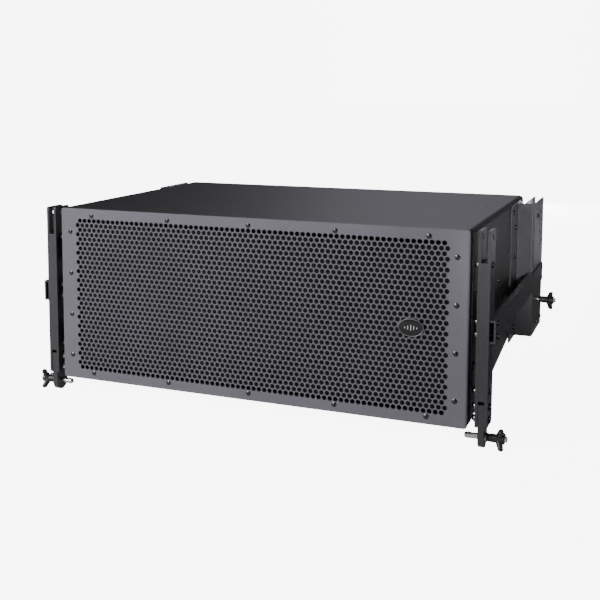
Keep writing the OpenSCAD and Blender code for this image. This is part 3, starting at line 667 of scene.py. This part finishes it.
def camera_only(tree, value):
    """A socket that gives value to rays from the camera and nothing to all others."""
    rays = tree.nodes.new("ShaderNodeLightPath")
    scale = tree.nodes.new("ShaderNodeMath")
    scale.operation = "MULTIPLY"
    scale.inputs[1].default_value = value
    tree.links.new(rays.outputs["Is Camera Ray"], scale.inputs[0])
    return scale.outputs["Value"]


def floor(level):
    """A plain pale floor far larger than the view."""
    bm = bmesh.new()
    bmesh.ops.create_grid(bm, x_segments=1, y_segments=1, size=30)
    obj = new_object("studio_floor", bm)
    obj.location = (0, 0, level)
    s = Shader("studio_floor", specular=0.1)
    cloud = s.noise(0.5)
    s.bsdf.inputs["Emission Color"].default_value = (1, 1, 1, 1)
    s.link(camera_only(s.tree, FLOOR_PALE), s.bsdf.inputs["Emission Strength"])
    s.finish(s.ramp(cloud, (0.3, linear(0.86)), (0.7, linear(0.9))), s.spread(cloud, 0.6, 0.7))
    obj.data.materials.append(s.mat)


def dark_card(centre, level):
    """A black card on the floor to the right, which keeps the right side of the speaker dark."""
    bm = bmesh.new()
    corners = ((0.47, -0.6), (2.6, -0.6), (2.6, 1.45), (0.47, 1.45))
    bm.faces.new([bm.verts.new((centre.x + x, centre.y + y, level + 0.002)) for x, y in corners])
    obj = new_object("dark_card", bm)
    s = Shader("black_cloth", specular=0.1)
    weave = s.noise(0.002)
    s.finish(s.ramp(weave, (0.3, linear(0.004)), (0.7, linear(0.008))), s.spread(weave, 0.8, 0.9))
    obj.data.materials.append(s.mat)
    obj.visible_camera = False
    obj.visible_shadow = False


def light(kind, name, place, aim, power):
    """A light at a place, turned towards another."""
    data = bpy.data.lights.new(name, kind)
    data.energy = power
    obj = bpy.data.objects.new(name, data)
    obj.location = place
    obj.rotation_euler = (Vector(aim) - Vector(place)).to_track_quat("-Z", "Y").to_euler()
    bpy.context.scene.collection.objects.link(obj)
    return data


def softbox(name, place, aim, size, power):
    data = light("AREA", name, place, aim, power)
    data.shape = "RECTANGLE"
    data.size, data.size_y = size


def spotlight(name, place, aim, degrees, radius, power):
    data = light("SPOT", name, place, aim, power)
    data.spot_size = math.radians(degrees)
    data.spot_blend = 0.8
    data.shadow_soft_size = radius


def grey_ramp(tree, source, levels):
    """Maps one coordinate of a direction, from -1 to 1, to the grey levels listed by value."""
    span = tree.nodes.new("ShaderNodeMapRange")
    span.inputs["From Min"].default_value = -1
    tree.links.new(source, span.inputs["Value"])
    ramp = tree.nodes.new("ShaderNodeValToRGB")
    for extra in range(len(levels) - 2):
        ramp.color_ramp.elements.new(0.5)
    for element, (value, grey) in zip(ramp.color_ramp.elements, levels):
        element.position = (value + 1) / 2
        element.color = linear(grey, VIOLET)
    tree.links.new(span.outputs["Result"], ramp.inputs["Fac"])
    return ramp.outputs["Color"]


# Grey levels round the speaker, by the X of the direction, behind it and in front of it. The gloss
# of the top shows the bright stretch behind the speaker.
REAR_LEVELS = (
    (-0.46, 0.0), (-0.38, 0.06), (-0.3, 0.5), (-0.2, 0.56), (-0.12, 0.5), (-0.02, 0.08), (0.3, 0.1),
)
FRONT_LEVELS = ((-0.5, 0.5), (-0.1, 0.35), (0.15, 0.04))
FRONT_SHARE = ((-0.3, 1.0), (0.1, 0.0))  # share of the front levels, by the Y of the direction


def surroundings():
    """Pale for the camera, and uneven grey for all that lights the speaker or shows in its gloss."""
    world = bpy.data.worlds.new("studio")
    world.use_nodes = True
    bpy.context.scene.world = world
    tree = world.node_tree
    place = tree.nodes.new("ShaderNodeTexCoord")
    split = tree.nodes.new("ShaderNodeSeparateXYZ")
    tree.links.new(place.outputs["Generated"], split.inputs["Vector"])
    mix = tree.nodes.new("ShaderNodeMix")
    mix.data_type = "RGBA"
    rear_colour, front_colour = [socket for socket in mix.inputs if socket.type == "RGBA"]
    mixed = [socket for socket in mix.outputs if socket.type == "RGBA"][0]
    tree.links.new(grey_ramp(tree, split.outputs["X"], REAR_LEVELS), rear_colour)
    tree.links.new(grey_ramp(tree, split.outputs["X"], FRONT_LEVELS), front_colour)
    tree.links.new(grey_ramp(tree, split.outputs["Y"], FRONT_SHARE), mix.inputs["Factor"])
    lit = tree.nodes["Background"]
    tree.links.new(mixed, lit.inputs["Color"])
    seen = tree.nodes.new("ShaderNodeBackground")
    tree.links.new(camera_only(tree, PALE), seen.inputs["Strength"])
    both = tree.nodes.new("ShaderNodeAddShader")
    tree.links.new(lit.outputs["Background"], both.inputs[0])
    tree.links.new(seen.outputs["Background"], both.inputs[1])
    tree.links.new(both.outputs["Shader"], tree.nodes["World Output"].inputs["Surface"])


# Soft lights: place from the middle of the part, size in metres, and watts.
SOFTBOXES = {
    "key": ((-1.6, -2.4, 1.3), (1.4, 1.2), 80),
    "side_glint": ((2.6, -0.8, 1.1), (0.4, 0.4), 4),
    "rear_fill": ((-0.9, 3.0, 0), (1.8, 0.3), 90),
    "left_fill": ((-3.0, 0.5, 0), (1.2, 0.3), 60),
    "right_fill": ((3.0, 0.4, 0), (1.2, 0.3), 15),
    "top_rear": ((-0.4, 1.6, 2.2), (1.4, 1.2), 8),
}


def studio(centre, level):
    """Everything that lights the speaker, which stands round centre on a floor at level."""
    surroundings()
    dark_card(centre, level)
    for name, (place, size, power) in SOFTBOXES.items():
        softbox(name, centre + Vector(place), centre, size, power)
    bracket = centre + Vector((0.42, 0.25, 0.06))
    spotlight("bracket_light", centre + Vector((1.1, -2.8, 0.5)), bracket, 7, 0.08, 380)


AZIMUTH = 22.8             # degrees to the right of straight ahead
ELEVATION = 6.0            # degrees above level
DISTANCE = 1.701           # from the middle of the grille's front, along the view
RIGHT_OF_CENTRE = 0.0277   # and across it
ABOVE_CENTRE = 0.2067
LENS_MM = 58.93
SHIFT = (0.0597, -0.182)


def camera():
    """A camera above the cabinet and nearly level; the shift keeps upright edges almost parallel."""
    low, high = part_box("grille")
    front = Vector(((low.x + high.x) / 2, low.y, (low.z + high.z) / 2))
    a, e = math.radians(AZIMUTH), math.radians(ELEVATION)
    back = Vector((math.sin(a) * math.cos(e), -math.cos(a) * math.cos(e), math.sin(e)))
    right = Vector((math.cos(a), math.sin(a), 0))
    up = back.cross(right)
    data = bpy.data.cameras.new("photo_view")
    data.lens = LENS_MM
    data.sensor_width = 36
    data.shift_x, data.shift_y = SHIFT
    obj = bpy.data.objects.new("photo_view", data)
    obj.location = front + right * RIGHT_OF_CENTRE + up * ABOVE_CENTRE + back * DISTANCE
    obj.rotation_euler = Matrix((right, up, back)).transposed().to_euler()
    bpy.context.scene.collection.objects.link(obj)
    bpy.context.scene.camera = obj


# ---------- build ----------

slots = finish_cad_nodes()
grille()
badge()
cabinet_shell()
ROUNDS = {  # mm of rounding on the edges of each node
    "bar_plates_left": 0.5, "bar_plates_right": 0.5, "bar_cores": 0.4, "tongues": 0.7,
    "side_arm_left": 0.5, "side_arm_right": 0.5, "rear_bracket_left": 0.5,
    "rear_bracket_right": 0.5, "rear_inner_plates": 0.5, "rear_link_left": 0.6,
    "rear_link_right": 0.6, "connector_plate": 0.4,
}
for node, width in ROUNDS.items():
    softened_copy(node, slots[node], width * MM)
split_bolts(slots)
for place in ("front", "rear"):
    for side in SIDES:
        pin_handle(place, side)
floor(cad_box[0].z)
studio((cad_box[0] + cad_box[1]) / 2, cad_box[0].z)
camera()
